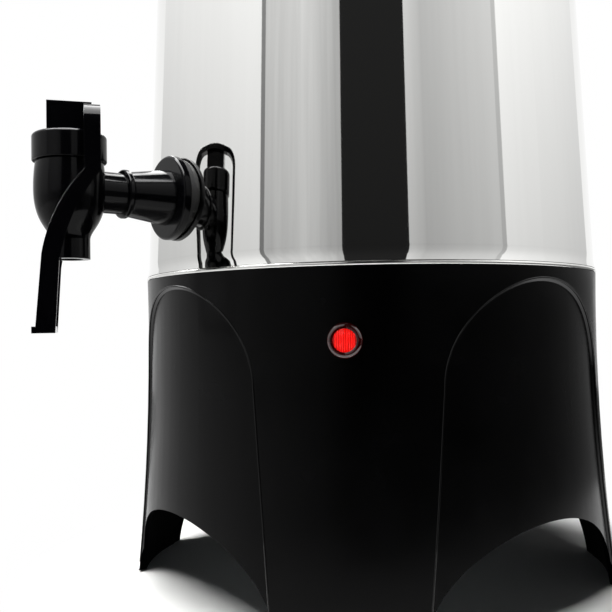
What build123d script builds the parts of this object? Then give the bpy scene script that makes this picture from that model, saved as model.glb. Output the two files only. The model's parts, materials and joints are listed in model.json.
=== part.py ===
from build123d import *
from math import cos, radians, sin, sqrt
import os

# Coffee urn, in millimetres. +Z is up, the floor is Z = 0 and the urn's axis is the Z axis.
# The tap points along -Y, and the handles lie along X.

# Clearances and overruns shared by all pieces
overrun = 5.0  # how far a cutting shape runs past what it cuts
loose_fit = 0.4  # all round, between pieces that are put together by hand
screw_fit = 0.15  # all round, between a fixing and the hole it passes
running_fit = 0.06  # all round, between a turning or sliding shaft and its hole
face_gap = 0.15  # between flat faces of pieces that move on each other

# Base
seam_radius = 100.0
seam_height = 129.5
waist_swell = 0.6  # over the seam's radius, halfway to the floor
foot_flare = 5.7  # over the seam's radius, at the floor
base_wall = 3.0
base_flange_width = 14.0
arch_count = 4
panel_recess = 1.2
panel_width_shares = (0.43, 0.528)  # half widths at the spring line and the floor, of the seam's radius
panel_crown_gap = 4.0
panel_rise = 38.0
bevel_side_share = 1.6
bevel_crown_share = 1.0
cutout_width_share = 0.535  # half width, of the seam's radius
cutout_rise = 39.0
cutout_crown_height = 37.6
pad_height = 0.8
pad_inset = 0.5
pad_half_angle = 11.0
post_radius = 5.0
post_angle = 22.5

# Bottom cover and its screws
cover_height = 42.0
cover_thickness = 1.2
cover_edge_gap = 2.6
cover_screw_radius = 1.7
cover_screw_length = 12.0
cover_screw_head_radius = 3.4
cover_screw_head_height = 2.2
vent_count = 12
vent_reach = 52.0
vent_length = 20.0
vent_width = 3.0

# Tank of rolled sheet
sheet = 0.8
trim_height = 1.7
trim_width = 1.6
trim_proud = 0.3
trim_split = 0.5
tank_height = 205.0
tank_taper = 8.2  # from the flare in to the rim
flare_depth = 0.8  # from the seam in to the straight taper
flare_height = 5.5
flare_mid_shares = (0.28, 0.4)  # of the flare's depth and height
rim_bead_radius = 1.8
plate_rise = 7.0  # from the seam to the tank's floor
well_radius = 24.0
well_depth = 14.0
weld_gap = 0.05

# Heater, stud and controls under the tank
heater_reach_share = 0.42  # of the seam's radius
heater_radius = 4.0
heater_sweep_angle = 320.0
heater_pin_radius = 2.0
heater_pin_length = 16.0
clamp_overhang = 8.0  # past the heater's middle
clamp_thickness = 1.2
stud_radius = 3.0
stud_tail = 9.0
nut_width = 10.0
nut_height = 5.0
washer_radius = 9.0
washer_thickness = 1.2
control_gap = 12.0  # from the base's flange in to the thermostat
thermostat_angle = 60.0
thermostat_radius = 8.0
thermostat_height = 9.0
bracket_thickness = 1.0
bracket_width = 10.0
bracket_gap = 0.5
fuse_angle = 200.0
fuse_radius = 2.2
fuse_length = 14.0
clip_thickness = 0.8
clip_width = 5.0
block_length = 42.0
block_width = 18.0
block_height = 14.0
block_reach = 44.0
block_well_radius = 2.6
block_well_depth = 9.0
block_ways = 3

# Appliance inlet at the back
inlet_height = 79.0
inlet_flange_width = 46.0
inlet_flange_height = 27.0
inlet_flange_thickness = 2.4
inlet_body_width = 27.0
inlet_body_height = 19.0
inlet_body_depth = 22.0
inlet_wall = 2.0
inlet_floor = 4.0
inlet_corner = 2.0
inlet_seat_margin = 2.5
inlet_seat_wall = 4.0
inlet_seat_gap = 0.35  # below the panel's skin at the seat's sides, so that a flat flange can seat
inlet_pin_width = 2.0
inlet_pin_height = 5.0
inlet_pin_recess = 6.0
inlet_pin_tail = 6.0
inlet_pin_pitch = 7.0
inlet_screw_pitch = 37.0
inlet_screw_radius = 1.5
inlet_screw_length = 8.0
inlet_screw_head_radius = 2.8
inlet_screw_head_height = 1.6

# Indicator lamp on the leg to the right of the tap
lamp_angle = 45.0
lamp_drop = 25.5  # below the seam
bezel_radius = 6.15
bezel_proud = 1.3
bezel_step = 0.6
lens_radius = 4.1
lens_proud = 1.1
lamp_body_radius = 5.0
lamp_body_length = 22.0
lamp_bore_depth = 12.0
lamp_nut_width = 14.0
lamp_nut_height = 3.0

# Side handles
handle_height = 84.0
handle_reach = 42.0
handle_width = 20.0
handle_thickness = 13.0
handle_corner = 16.0
handle_edge = 4.0
handle_drop = 51.0  # from the tank's rim to the handle's middle
handle_screw_radius = 2.0
handle_screw_length = 14.0
handle_screw_head_radius = 4.0
handle_screw_head_height = 1.8

# Tap
tap_rise = 30.4  # from the seam to the shank's axis
pipe_radius = 7.7
pipe_length = 21.85  # from the tap's upright axis to the collar's back
pipe_bore_radius = 2.8
collar_radius = 9.2
collar_width = 2.4
shank_nose_radius = 8.4
shank_root_radius = 10.8
shank_length = 15.9
shank_tail_radius = 8.0
shank_tail_inside = 12.0
tap_gasket_thickness = 1.0
tap_gasket_radius = 15.4
tap_nut_radius = 16.4
tap_nut_height = 3.2
tap_nut_chamfer = 0.7
inner_gasket_thickness = 2.5
inner_gasket_radius = 13.0
inner_nut_width = 24.0
inner_nut_height = 5.0
nozzle_radius = 7.0
nozzle_bore_radius = 4.3
nozzle_length = 7.0
bowl_radius = 12.7
bowl_shoulder_radius = 12.0
bowl_bore_radius = 9.2
bowl_seat_radius = 6.6
bowl_curve_shares = (0.22, 0.3)  # of the bowl's height, for its lower curve
bowl_mid_share = 0.25  # of the shoulder's step, halfway up
neck_radius = 11.2
neck_height = 6.0
nozzle_drop = 25.4  # from the shank's axis to the nozzle's mouth
seat_drop = 10.5  # from the shank's axis to the valve seat
cap_radius = 13.2
cap_height = 9.8
cap_rise = 9.8  # from the shank's axis to the cap's lower edge
cap_roof = 2.5
cap_edge = 0.8

# Stem, seat cup and spring
stem_radius = 2.6
stem_tail = 4.0
cup_radius = 5.6
cup_height = 7.0
cup_hollow_depth = 2.0
cup_lip = 2.0
seat_gap = 0.3
spring_bore_radius = 3.3
spring_wall = 1.1

# Lever, a loop that straddles the tap
lever_swing_angle = -20.0  # degrees round the tap's axis, away from straight ahead
washer_ring_radius = 6.0
washer_ring_height = 0.5
hub_half_width = 7.7
hub_height = 9.8
pin_rise = 4.8  # from the hub's lower face to the pin
pin_radius = 1.5
pin_cover = 1.5  # hub left over the pin's inner end
hub_slot_front = 5.3
hub_slot_back = 4.5
hub_slot_rise = 8.6
stem_top_rise = 2.8  # above the pin
arm_outer = 18.0
arm_thickness = 2.2
arm_width = 5.6
arm_back = 10.5  # behind the tap's axis
loop_crown = 0.4  # above the hub
shoulder_drop = 3.0
shoulder_corner = 8.0
crown_corner = 30.0
arm_bend_drop = 25.8  # below the hub's top, where the arm sweeps forward
arm_sweep_front = 9.3
arm_sweep_drop = 55.0
sweep_mid_shares = (0.61, 0.43)  # along the sweep, forward and down
lever_foot_front = 11.4
lever_foot_drop = 82.0  # below the hub's top
lever_foot_width = 6.4
arm_back_sweep = 3.5
arm_back_sweep_drop = 57.5
lever_foot_height = 2.3
lever_lip = 1.3

# Percolator
brew_gap = 0.3
pump_tube_radius = 3.5
pump_tube_wall = 0.8
pump_foot_radius = 21.0
pump_foot_wall = 1.0
pump_foot_lip = 1.6
pump_foot_rise = 18.0
pump_tube_lift = 3.0
pump_tube_top_gap = 24.0  # below the tank's rim
valve_radius = 8.0
valve_thickness = 1.5
valve_rise = 5.0
basket_wall_gap = 29.0  # from the tank's rim in to the basket
basket_height = 52.0
basket_drop = 88.0  # from the tank's rim to the basket's floor
basket_sleeve_wall = 1.0
tube_collar_radius = 7.0
tube_collar_height = 2.5
basket_hole_radius = 1.6
basket_hole_rings = 3
basket_holes = 10  # in the first ring, and as many more in each ring after it
spreader_holes = 6
basket_hole_pitch_share = 0.236  # of the basket's floor, from tube collar to wall
spreader_lip = 5.0

# Lid
lid_overhang = 4.5  # past the tank's rim
lid_rise = 17.0
dome_mid_share = 0.75  # of the rise, halfway in
lid_skirt_depth = 9.0
lid_skirt_gap = 1.6
lid_brim = 8.0
knob_foot_radius = 11.0
knob_neck_radius = 8.0
knob_radius = 20.0
knob_height = 31.0
knob_neck_share = 0.35
knob_cap_share = 0.62
knob_edge = 4.0
knob_screw_radius = 2.0
knob_screw_depth = 16.0
knob_screw_head_radius = 5.0
knob_screw_head_height = 2.0

# Sizes and places that follow from those above
half_turn_angle = 180.0
waist_radius = seam_radius + waist_swell
foot_radius = seam_radius + foot_flare
panel_half_width = seam_radius * panel_width_shares[0]
panel_foot_half_width = seam_radius * panel_width_shares[1]
cutout_half_width = seam_radius * cutout_width_share
tank_foot_radius = seam_radius - flare_depth
tank_top_radius = tank_foot_radius - tank_taper
lid_radius = tank_top_radius + lid_overhang
basket_radius = tank_top_radius - basket_wall_gap
basket_hole_pitch = (basket_radius - tube_collar_radius) * basket_hole_pitch_share
heater_reach = seam_radius * heater_reach_share
clamp_radius = heater_reach + clamp_overhang
wall_foot = seam_height + trim_height
tank_top = wall_foot + tank_height
rim_top = tank_top + rim_bead_radius
plate_top = seam_height + plate_rise
plate_under = plate_top - sheet
well_floor = plate_top - well_depth
cover_top = cover_height + cover_thickness
flange_under = seam_height - base_wall
flange_inner = seam_radius - base_flange_width
control_reach = flange_inner - control_gap - thermostat_radius
post_reach = flange_inner + post_radius
panel_spring = seam_height - panel_crown_gap - panel_rise
panel_side_reach = sqrt(seam_radius**2 - panel_half_width**2)
tap_height = seam_height + tap_rise
hub_under = tap_height + cap_rise + cap_height + washer_ring_height + 2 * face_gap
hub_top = hub_under + hub_height
pin_height = hub_under + pin_rise
seat_height = tap_height - seat_drop
cup_floor = seat_height + seat_gap
nozzle_mouth = tap_height - nozzle_drop
cap_under = tap_height + cap_rise
cap_top = cap_under + cap_height
leg_angle = half_turn_angle / arch_count
basket_floor = tank_top - basket_drop
basket_top = basket_floor + basket_height
spreader_seat = basket_top + brew_gap
lid_seat = rim_top + brew_gap


def base_radius(height):
    """Outer radius of the base at a height, on the arc through the seam, the waist and the foot."""
    low, mid, high = (foot_radius, 0), (waist_radius, seam_height / 2), (seam_radius, seam_height)
    side_a, side_b = (mid[0] - low[0], mid[1] - low[1]), (high[0] - low[0], high[1] - low[1])
    twice = 2 * (side_a[0] * side_b[1] - side_a[1] * side_b[0])
    square_a, square_b = side_a[0] ** 2 + side_a[1] ** 2, side_b[0] ** 2 + side_b[1] ** 2
    across = (side_b[1] * square_a - side_a[1] * square_b) / twice
    along = (side_a[0] * square_b - side_b[0] * square_a) / twice
    bend = sqrt(across**2 + along**2)
    reach = sqrt(bend**2 - (height - along) ** 2)
    return low[0] + across - reach if across > 0 else low[0] + across + reach


def tank_radius(height):
    """Outer radius of the tank's straight taper at a height."""
    rise_share = (height - wall_foot - flare_height) / (tank_height - flare_height)
    return tank_foot_radius + (tank_top_radius - tank_foot_radius) * rise_share


def base_line(inset):
    """Side of the base, moved inwards, from the seam down to the floor."""
    ThreePointArc(
        (seam_radius - inset, seam_height),
        (waist_radius - inset, seam_height / 2),
        (foot_radius - inset, 0),
    )


def panel_outline(reach):
    """Arched panel's outline on a plane in front of the urn's axis. It widens outwards, for the bevel."""
    side_growth = bevel_side_share * (reach - panel_side_reach)
    half, foot_half = panel_half_width + side_growth, panel_foot_half_width + side_growth
    rise = panel_rise + bevel_crown_share * (reach - seam_radius)
    with BuildSketch(Plane.XZ.offset(reach)) as outline:
        with BuildLine():
            EllipticalCenterArc((0, panel_spring), half, rise, arc_size=half_turn_angle)
            Polyline(
                (-half, panel_spring),
                (-foot_half, -overrun),
                (foot_half, -overrun),
                (half, panel_spring),
            )
        make_face()
    return outline.sketch


def tank_core(inset):
    """Solid inside the tank's taper, moved inwards, from the seam to the rim."""
    with BuildPart() as core:
        with BuildSketch(Plane.XZ):
            low, high = seam_height, rim_top + overrun
            low_reach, high_reach = tank_radius(low) - inset, tank_radius(high) - inset
            Polygon((0, low), (low_reach, low), (high_reach, high), (0, high), align=None)
        revolve(axis=Axis.Z)
    return core.part


def around(angle, reach, height):
    """Point at an angle from the tap's side, counted towards +X."""
    return (reach * sin(radians(angle)), -reach * cos(radians(angle)), height)


def radial_plane(angle, height, reach):
    """Plane square to the line out of the urn at an angle, with its X axis level."""
    out = around(angle, 1, 0)
    return Plane(origin=around(angle, reach, height), x_dir=around(angle + 90, 1, 0), z_dir=out)


# Reach of the inlet's seat, and of the tap's pieces outwards from the tank's wall
seat_skin = base_radius(inlet_height) - panel_recess
inlet_seat = sqrt(seat_skin**2 - (inlet_flange_width / 2 + inlet_seat_margin) ** 2) - inlet_seat_gap
inlet_seat_depth = base_radius(inlet_height) - inlet_seat
wall_reach = tank_radius(tap_height)
nut_back = wall_reach + tap_gasket_thickness
nut_front = nut_back + tap_nut_height
collar_reach = nut_front + shank_length
tap_reach = collar_reach + pipe_length

# Base housing: a flared shell on four legs, with a recessed arched panel over each opening
with BuildPart() as panel_cutter:
    loft([panel_outline(seam_radius - 4 * base_wall), panel_outline(foot_radius + overrun)], ruled=True)
    with BuildSketch(Plane.XZ):
        with BuildLine():
            base_line(panel_recess)
            top, bottom = (seam_radius - panel_recess, seam_height), (foot_radius - panel_recess, 0)
            far = foot_radius + 2 * overrun
            Polyline(top, (far, seam_height), (far, 0), bottom)
        make_face()
    revolve(axis=Axis.Z, mode=Mode.INTERSECT)

with BuildPart() as base_housing:
    with BuildSketch(Plane.XZ):
        with BuildLine():
            base_line(0)
            base_line(base_wall)
            Line((seam_radius, seam_height), (seam_radius - base_wall, seam_height))
            Line((foot_radius, 0), (foot_radius - base_wall, 0))
        make_face()
        with Locations((flange_inner, flange_under)):
            Rectangle(base_flange_width - base_wall / 2, base_wall, align=Align.MIN)
    revolve(axis=Axis.Z)
    with BuildSketch(Plane.XY.offset(cover_top)):
        with PolarLocations(post_reach, arch_count, start_angle=post_angle):
            Circle(post_radius)
    extrude(amount=flange_under - cover_top)
    with BuildSketch(Plane.XY.offset(cover_top)):
        with PolarLocations(post_reach, arch_count, start_angle=post_angle):
            Circle(cover_screw_radius)
    extrude(amount=cover_screw_length, mode=Mode.SUBTRACT)
    with BuildSketch(Plane.XZ):
        with Locations((0, cutout_crown_height - cutout_rise)):
            Ellipse(cutout_half_width, cutout_rise)
    extrude(amount=foot_radius + overrun, both=True, mode=Mode.SUBTRACT)
    with BuildSketch(Plane.YZ):
        with Locations((0, cutout_crown_height - cutout_rise)):
            Ellipse(cutout_half_width, cutout_rise)
    extrude(amount=foot_radius + overrun, both=True, mode=Mode.SUBTRACT)
    with PolarLocations(0, arch_count):
        add(panel_cutter.part, mode=Mode.SUBTRACT)
    # flat seat for the inlet in the rear panel, thickened inside
    with BuildSketch(Plane.XZ.offset(-inlet_seat)):
        with Locations((0, inlet_height)):
            Rectangle(inlet_flange_width + 2 * inlet_seat_margin, inlet_flange_height + 2 * inlet_seat_margin)
    extrude(amount=inlet_seat_wall)
    with BuildSketch(Plane.XZ.offset(-inlet_seat)):
        with Locations((0, inlet_height)):
            Rectangle(inlet_flange_width + 2 * loose_fit, inlet_flange_height + 2 * loose_fit)
    extrude(amount=-inlet_seat_depth - overrun, mode=Mode.SUBTRACT)
    with BuildSketch(Plane.XZ.offset(-inlet_seat)):
        with Locations((0, inlet_height)):
            Rectangle(inlet_body_width + 2 * screw_fit, inlet_body_height + 2 * screw_fit)
            with GridLocations(inlet_screw_pitch, 0, 2, 1):
                Circle(inlet_screw_radius)
    extrude(amount=2 * inlet_seat_wall, mode=Mode.SUBTRACT)
    # hole for the indicator
    lamp_height = seam_height - lamp_drop
    lamp_face = base_radius(lamp_height)
    with BuildSketch(radial_plane(lamp_angle, lamp_height, lamp_face + overrun)):
        Circle(lamp_body_radius + screw_fit)
    extrude(amount=-2 * overrun - base_wall, mode=Mode.SUBTRACT)
    split(bisect_by=Plane.XY.offset(pad_height), keep=Keep.TOP)

pad_outer = foot_radius - pad_inset
pad_inner = foot_radius - base_wall + pad_inset
with BuildPart() as foot_pads:
    with BuildSketch(Plane.XY):
        for leg in range(arch_count):
            pad_start = leg_angle * (2 * leg + 1) - pad_half_angle
            with BuildLine():
                CenterArc((0, 0), pad_outer, pad_start, 2 * pad_half_angle)
                CenterArc((0, 0), pad_inner, pad_start, 2 * pad_half_angle)
                for side in (pad_start, pad_start + 2 * pad_half_angle):
                    across, along = cos(radians(side)), sin(radians(side))
                    Line((pad_inner * across, pad_inner * along), (pad_outer * across, pad_outer * along))
            make_face()
    extrude(amount=pad_height)

with BuildPart() as bottom_cover:
    with BuildSketch(Plane.XY.offset(cover_height)):
        Circle(base_radius(cover_height) - base_wall - cover_edge_gap)
        Circle(stud_radius + loose_fit, mode=Mode.SUBTRACT)
        with PolarLocations(post_reach, arch_count, start_angle=post_angle):
            Circle(cover_screw_radius + screw_fit, mode=Mode.SUBTRACT)
        with PolarLocations(vent_reach, vent_count):
            SlotOverall(vent_length, vent_width, mode=Mode.SUBTRACT)
    extrude(amount=cover_thickness)

with BuildPart() as cover_screws:
    with BuildSketch(Plane.XY.offset(cover_height)):
        with PolarLocations(post_reach, arch_count, start_angle=post_angle):
            Circle(cover_screw_head_radius)
    extrude(amount=-cover_screw_head_height)
    with BuildSketch(Plane.XY.offset(cover_height)):
        with PolarLocations(post_reach, arch_count, start_angle=post_angle):
            Circle(cover_screw_radius)
    extrude(amount=cover_thickness + cover_screw_length - loose_fit)

# Tank: a tapered wall that flares onto a bright trim ring, and a pressed floor with a well
with BuildPart() as trim_ring:
    with BuildSketch(Plane.XZ):
        with BuildLine():
            ring_inner = seam_radius - trim_width
            ring_edge = seam_radius - trim_height / 2 + trim_proud
            Polyline(
                (ring_edge, wall_foot),
                (ring_inner, wall_foot),
                (ring_inner, seam_height),
                (ring_edge, seam_height),
            )
            ThreePointArc(
                (ring_edge, seam_height),
                (seam_radius + trim_proud, (seam_height + wall_foot) / 2),
                (ring_edge, wall_foot),
            )
        make_face()
    revolve(axis=Axis.Z)
    with BuildSketch(Plane.XZ.offset(seam_radius - trim_width - overrun)):
        with Locations((0, seam_height + trim_height / 2)):
            Rectangle(trim_split, trim_height + 2 * overrun)
    extrude(amount=trim_width + 2 * overrun, mode=Mode.SUBTRACT)

handle_middle = tank_top - handle_drop
handle_screw_rise = handle_height / 2 - handle_thickness / 2
with BuildPart() as tank_wall:
    with BuildSketch(Plane.XZ):
        with BuildLine():
            for inset in (0, sheet):
                flare = seam_radius - tank_foot_radius
                flare_top = wall_foot + flare_height
                mid_reach = tank_foot_radius + flare * flare_mid_shares[0] - inset
                ThreePointArc(
                    (seam_radius - inset, wall_foot),
                    (mid_reach, wall_foot + flare_height * flare_mid_shares[1]),
                    (tank_foot_radius - inset, flare_top),
                )
                Line((tank_foot_radius - inset, flare_top), (tank_top_radius - inset, tank_top))
            Line((seam_radius, wall_foot), (seam_radius - sheet, wall_foot))
            Line((tank_top_radius, tank_top), (tank_top_radius - sheet, tank_top))
        make_face()
        with Locations((tank_top_radius - sheet + rim_bead_radius, tank_top)):
            Circle(rim_bead_radius)
    revolve(axis=Axis.Z)
    with BuildSketch(Plane.XZ.offset(wall_reach - 2 * overrun)):
        with Locations((0, tap_height)):
            Circle(shank_tail_radius + screw_fit)
    extrude(amount=4 * overrun, mode=Mode.SUBTRACT)
    with BuildSketch(Plane.YZ):
        with Locations((0, handle_middle)):
            with GridLocations(0, 2 * handle_screw_rise, 1, 2):
                Circle(handle_screw_radius + screw_fit)
    extrude(amount=seam_radius + overrun, both=True, mode=Mode.SUBTRACT)

skirt_radius = tank_foot_radius - sheet - weld_gap
with BuildPart() as tank_bottom:
    with BuildSketch(Plane.XZ):
        Polygon(
            (0, well_floor),
            (well_radius, well_floor),
            (well_radius, plate_top),
            (skirt_radius, plate_top),
            (skirt_radius, seam_height),
            (skirt_radius - sheet, seam_height),
            (skirt_radius - sheet, plate_under),
            (well_radius + sheet, plate_under),
            (well_radius + sheet, well_floor - sheet),
            (0, well_floor - sheet),
            align=None,
        )
    revolve(axis=Axis.Z)

# Heater ring, its clamp, and the stud that ties tank, base and cover together
heater_level = plate_under - heater_radius
heater_under = heater_level - heater_radius
clamp_top = well_floor - sheet
with BuildPart() as heater_ring:
    with BuildSketch(Plane.XZ):
        with Locations((heater_reach, heater_level)):
            Circle(heater_radius)
    revolve(axis=Axis.Z, revolution_arc=heater_sweep_angle)
    with BuildSketch(Plane.XY.offset(heater_level)):
        with PolarLocations(heater_reach, 2, start_angle=0, angular_range=heater_sweep_angle, endpoint=True):
            Circle(heater_pin_radius)
    extrude(amount=-heater_pin_length)

with BuildPart() as heater_clamp:
    with BuildSketch(Plane.XZ):
        with Locations((stud_radius + loose_fit, clamp_top)):
            Rectangle(clamp_radius - stud_radius - loose_fit, clamp_thickness, align=(Align.MIN, Align.MAX))
        with Locations((heater_reach, clamp_top)):
            Rectangle(clamp_thickness, heater_under - clamp_top, align=(Align.CENTER, Align.MIN))
    revolve(axis=Axis.Z)
    with BuildSketch(Plane.XY.offset(clamp_top - clamp_thickness)):
        with PolarLocations(heater_reach, 2, start_angle=0, angular_range=heater_sweep_angle, endpoint=True):
            Circle(heater_pin_radius + 2 * loose_fit)
    extrude(amount=heater_under - clamp_top + clamp_thickness, mode=Mode.SUBTRACT)

clamp_under = clamp_top - clamp_thickness
stud_end = cover_height - washer_thickness - stud_tail
with BuildPart() as center_stud:
    with BuildSketch(Plane.XY.offset(clamp_top)):
        Circle(stud_radius)
    extrude(amount=stud_end - clamp_top)

with BuildPart() as stud_nuts:
    for nut_top in (clamp_under, cover_height - washer_thickness):
        with BuildSketch(Plane.XY.offset(nut_top)):
            RegularPolygon(nut_width / 2, 6, major_radius=False)
            Circle(stud_radius, mode=Mode.SUBTRACT)
        extrude(amount=-nut_height)

with BuildPart() as stud_washer:
    with BuildSketch(Plane.XY.offset(cover_height)):
        Circle(washer_radius)
        Circle(stud_radius + screw_fit, mode=Mode.SUBTRACT)
    extrude(amount=-washer_thickness)

# Thermostat and thermal fuse, held against the tank's floor
with BuildPart() as thermostat:
    with BuildSketch(Plane(origin=around(thermostat_angle, control_reach, plate_under))):
        Circle(thermostat_radius)
    extrude(amount=-thermostat_height)

with BuildPart() as thermostat_bracket:
    strap_half = thermostat_radius + bracket_gap + bracket_thickness
    strap_drop = thermostat_height + bracket_thickness
    with BuildSketch(radial_plane(thermostat_angle, plate_under, control_reach)):
        with Locations((0, -strap_drop / 2)):
            Rectangle(2 * strap_half, strap_drop)
        with Locations((0, -thermostat_height / 2)):
            Rectangle(2 * strap_half - 2 * bracket_thickness, thermostat_height, mode=Mode.SUBTRACT)
    extrude(amount=bracket_width / 2, both=True)

with BuildPart() as thermal_fuse:
    with BuildSketch(radial_plane(fuse_angle, plate_under - fuse_radius, control_reach - fuse_length / 2)):
        Circle(fuse_radius)
    extrude(amount=fuse_length)

with BuildPart() as fuse_clip:
    clip_half = fuse_radius + clip_thickness
    with BuildSketch(radial_plane(fuse_angle, plate_under, control_reach)):
        with Locations((0, -fuse_radius)):
            Rectangle(2 * clip_half, 2 * fuse_radius)
        with Locations((0, -2 * fuse_radius)):
            Rectangle(2 * clip_half, 2 * clip_thickness)
        with Locations((0, -fuse_radius)):
            Rectangle(2 * fuse_radius, 2 * fuse_radius, mode=Mode.SUBTRACT)
    extrude(amount=clip_width / 2, both=True)

with BuildPart() as terminal_block:
    with Locations((-block_reach, 0, cover_top)):
        Box(block_width, block_length, block_height, align=(Align.CENTER, Align.CENTER, Align.MIN))
    with BuildSketch(Plane.XY.offset(cover_top + block_height)):
        with Locations((-block_reach, 0)):
            with GridLocations(block_width / 2, block_length / block_ways, 2, block_ways):
                Circle(block_well_radius)
    extrude(amount=-block_well_depth, mode=Mode.SUBTRACT)

# Appliance inlet: flanged body, three pins and two screws
with BuildPart() as inlet_socket:
    with BuildSketch(Plane.XZ.offset(-inlet_seat)):
        with Locations((0, inlet_height)):
            RectangleRounded(inlet_flange_width, inlet_flange_height, inlet_corner)
    extrude(amount=-inlet_flange_thickness)
    with BuildSketch(Plane.XZ.offset(-inlet_seat)):
        with Locations((0, inlet_height)):
            RectangleRounded(inlet_body_width, inlet_body_height, inlet_corner)
    extrude(amount=inlet_body_depth - inlet_flange_thickness)
    inlet_face = inlet_seat + inlet_flange_thickness
    with BuildSketch(Plane.XZ.offset(-inlet_face)):
        with Locations((0, inlet_height)):
            Rectangle(inlet_body_width - 2 * inlet_wall, inlet_body_height - 2 * inlet_wall)
    extrude(amount=inlet_body_depth - inlet_floor, mode=Mode.SUBTRACT)
    with BuildSketch(Plane.XZ.offset(-inlet_face)):
        with Locations((0, inlet_height)):
            with GridLocations(inlet_pin_pitch, 0, 3, 1):
                Rectangle(inlet_pin_width, inlet_pin_height)
            with GridLocations(inlet_screw_pitch, 0, 2, 1):
                Circle(inlet_screw_radius + screw_fit)
    extrude(amount=inlet_body_depth + overrun, mode=Mode.SUBTRACT)

with BuildPart() as inlet_pins:
    with BuildSketch(Plane.XZ.offset(-inlet_face + inlet_pin_recess)):
        with Locations((0, inlet_height)):
            with GridLocations(inlet_pin_pitch, 0, 3, 1):
                Rectangle(inlet_pin_width, inlet_pin_height)
    extrude(amount=inlet_body_depth - inlet_pin_recess + inlet_pin_tail)

with BuildPart() as inlet_screws:
    with BuildSketch(Plane.XZ.offset(-inlet_face)):
        with Locations((0, inlet_height)):
            with GridLocations(inlet_screw_pitch, 0, 2, 1):
                Circle(inlet_screw_head_radius)
    extrude(amount=-inlet_screw_head_height)
    with BuildSketch(Plane.XZ.offset(-inlet_face)):
        with Locations((0, inlet_height)):
            with GridLocations(inlet_screw_pitch, 0, 2, 1):
                Circle(inlet_screw_radius)
    extrude(amount=inlet_screw_length - loose_fit)

# Indicator: smoky bezel, red lens, and the lamp body with its nut inside the base
lamp_plane = radial_plane(lamp_angle, lamp_height, lamp_face + face_gap)
with BuildPart() as indicator_bezel:
    with BuildSketch(lamp_plane):
        Circle(bezel_radius)
        Circle(lens_radius, mode=Mode.SUBTRACT)
    extrude(amount=bezel_proud)
    front_rims = faces().sort_by(Axis(lamp_plane.origin, lamp_plane.z_dir))[-1].edges()
    chamfer(front_rims.sort_by(SortBy.RADIUS)[-1], length=bezel_step)

with BuildPart() as indicator_lens:
    with BuildSketch(lamp_plane):
        Circle(lens_radius)
    extrude(amount=lens_proud)

with BuildPart() as indicator_body:
    with BuildSketch(lamp_plane):
        Circle(lamp_body_radius)
    extrude(amount=-lamp_body_length)
    with BuildSketch(lamp_plane):
        Circle(lens_radius - bezel_step)
    extrude(amount=-lamp_bore_depth, mode=Mode.SUBTRACT)

with BuildPart() as indicator_nut:
    with BuildSketch(radial_plane(lamp_angle, lamp_height, lamp_face - base_wall - loose_fit)):
        RegularPolygon(lamp_nut_width / 2, 6, major_radius=False)
        Circle(lamp_body_radius, mode=Mode.SUBTRACT)
    extrude(amount=-lamp_nut_height)

# Handles: one loop on each side, screwed on from inside the tank
tank_skin = tank_core(0)
handle_root = tank_radius(handle_middle)
with BuildPart() as handle_right:
    with BuildSketch(Plane.XZ):
        with Locations((handle_root + handle_reach / 2 - overrun, handle_middle)):
            RectangleRounded(handle_reach + 2 * overrun, handle_height, handle_corner)
            RectangleRounded(
                handle_reach + 2 * overrun - 2 * handle_thickness,
                handle_height - 2 * handle_thickness,
                handle_corner - handle_thickness,
                mode=Mode.SUBTRACT,
            )
    extrude(amount=handle_width / 2, both=True)
    fillet(edges().filter_by(Axis.Y, reverse=True), radius=handle_edge)
    add(tank_skin, mode=Mode.SUBTRACT)
    with BuildSketch(Plane.YZ):
        with Locations((0, handle_middle)):
            with GridLocations(0, 2 * handle_screw_rise, 1, 2):
                Circle(handle_screw_radius)
    extrude(amount=handle_root + handle_screw_length + overrun, mode=Mode.SUBTRACT)

with BuildPart() as handle_left:
    mirror(handle_right.part, about=Plane.YZ)

with BuildPart() as handle_screws:
    for rise in (-handle_screw_rise, handle_screw_rise):
        head_face = tank_radius(handle_middle + rise) - sheet - loose_fit
        for plane in (Plane.YZ, Plane(origin=(0, 0, 0), x_dir=(0, -1, 0), z_dir=(-1, 0, 0))):
            with BuildSketch(plane.offset(head_face)):
                with Locations((0, handle_middle + rise)):
                    Circle(handle_screw_head_radius)
            extrude(amount=-handle_screw_head_height)
            with BuildSketch(plane.offset(head_face)):
                with Locations((0, handle_middle + rise)):
                    Circle(handle_screw_radius)
            extrude(amount=handle_screw_length)

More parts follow.
